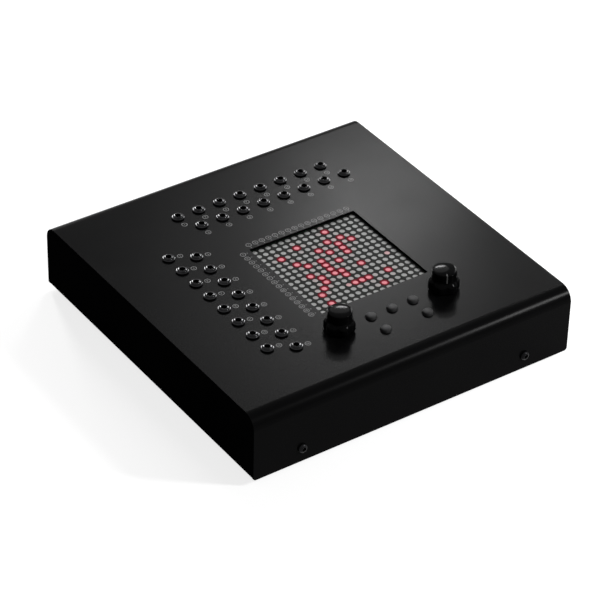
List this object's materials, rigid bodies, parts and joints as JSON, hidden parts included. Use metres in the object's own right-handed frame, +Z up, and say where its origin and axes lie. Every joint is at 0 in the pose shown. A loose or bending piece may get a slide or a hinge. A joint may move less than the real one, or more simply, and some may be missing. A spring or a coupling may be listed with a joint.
{
  "type": "desktop patch matrix module",
  "caption": "Low black desktop sound module with rows of patch sockets, a square lamp display, push buttons and two turning knobs in a folded steel case.",
  "frame": {"origin": "on the surface that the feet stand on, under the middle of the casing", "axes": "+Z up, +X to the right along the front edge, +Y towards the back wall"},
  "size_m": [0.225, 0.2302, 0.0616],
  "materials": {
    "casing_black": "smooth black coat with a soft sheen",
    "nickel": "dark nickel plating",
    "screw_black": "black oxide",
    "board_green": "solder mask",
    "lamp_face": "dark face with pale round lamps",
    "steel": "plain",
    "knob_black": "polished black moulding",
    "button_black": "satin black moulding",
    "foot_rubber": "matt",
    "inlet_plastic": "satin",
    "lead_sleeve": "soft sleeve"
  },
  "bodies": {
    "casing": {"top_cover": "casing_black", "bottom_tray": "casing_black", "main_board": "board_green", "display_module_1": "lamp_face", "display_module_2": "lamp_face", "display_module_3": "lamp_face", "display_module_4": "lamp_face", "input_socket_01": "nickel", "input_socket_02": "nickel", "input_socket_03": "nickel", "input_socket_04": "nickel", "input_socket_05": "nickel", "input_socket_06": "nickel", "input_socket_07": "nickel", "input_socket_08": "nickel", "input_socket_09": "nickel", "input_socket_10": "nickel", "input_socket_11": "nickel", "input_socket_12": "nickel", "input_socket_13": "nickel", "input_socket_14": "nickel", "input_socket_15": "nickel", "input_socket_16": "nickel", "output_socket_01": "nickel", "output_socket_02": "nickel", "output_socket_03": "nickel", "output_socket_04": "nickel", "output_socket_05": "nickel", "output_socket_06": "nickel", "output_socket_07": "nickel", "output_socket_08": "nickel", "output_socket_09": "nickel", "output_socket_10": "nickel", "output_socket_11": "nickel", "output_socket_12": "nickel", "output_socket_13": "nickel", "output_socket_14": "nickel", "output_socket_15": "nickel", "output_socket_16": "nickel", "encoder_left": "steel", "encoder_right": "steel", "foot_front_left": "foot_rubber", "foot_front_right": "foot_rubber", "foot_back_left": "foot_rubber", "foot_back_right": "foot_rubber", "screw_front_left": "screw_black", "screw_front_right": "screw_black", "screw_back_left": "screw_black", "screw_back_right": "screw_black", "power_inlet": "inlet_plastic", "power_lead": "lead_sleeve"},
    "left_control": {"shaft_left": "steel", "knob_left": "knob_black"},
    "right_control": {"shaft_right": "steel", "knob_right": "knob_black"},
    "button_1": {"button_1": "button_black"},
    "button_2": {"button_2": "button_black"},
    "button_3": {"button_3": "button_black"},
    "button_4": {"button_4": "button_black"},
    "button_5": {"button_5": "button_black"}
  },
  "joints": [
    {"name": "left_knob_turn", "type": "hinge", "parent": "casing", "child": "left_control", "pos_m": [-0.0249, -0.0701, 0.0481], "axis": [0, 0, 1], "continuous": true},
    {"name": "right_knob_turn", "type": "hinge", "parent": "casing", "child": "right_control", "pos_m": [0.0501, -0.0701, 0.0481], "axis": [0, 0, 1], "continuous": true},
    {"name": "button_1_press", "type": "slide", "parent": "casing", "child": "button_1", "axis": [0, 0, -1], "range_m": [0, 0.0005], "stiffness_N_per_m": 600, "springref_m": -0.001},
    {"name": "button_2_press", "type": "slide", "parent": "casing", "child": "button_2", "axis": [0, 0, -1], "range_m": [0, 0.0005], "stiffness_N_per_m": 600, "springref_m": -0.001},
    {"name": "button_3_press", "type": "slide", "parent": "casing", "child": "button_3", "axis": [0, 0, -1], "range_m": [0, 0.0005], "stiffness_N_per_m": 600, "springref_m": -0.001},
    {"name": "button_4_press", "type": "slide", "parent": "casing", "child": "button_4", "axis": [0, 0, -1], "range_m": [0, 0.0005], "stiffness_N_per_m": 600, "springref_m": -0.001},
    {"name": "button_5_press", "type": "slide", "parent": "casing", "child": "button_5", "axis": [0, 0, -1], "range_m": [0, 0.0005], "stiffness_N_per_m": 600, "springref_m": -0.001}
  ]
}
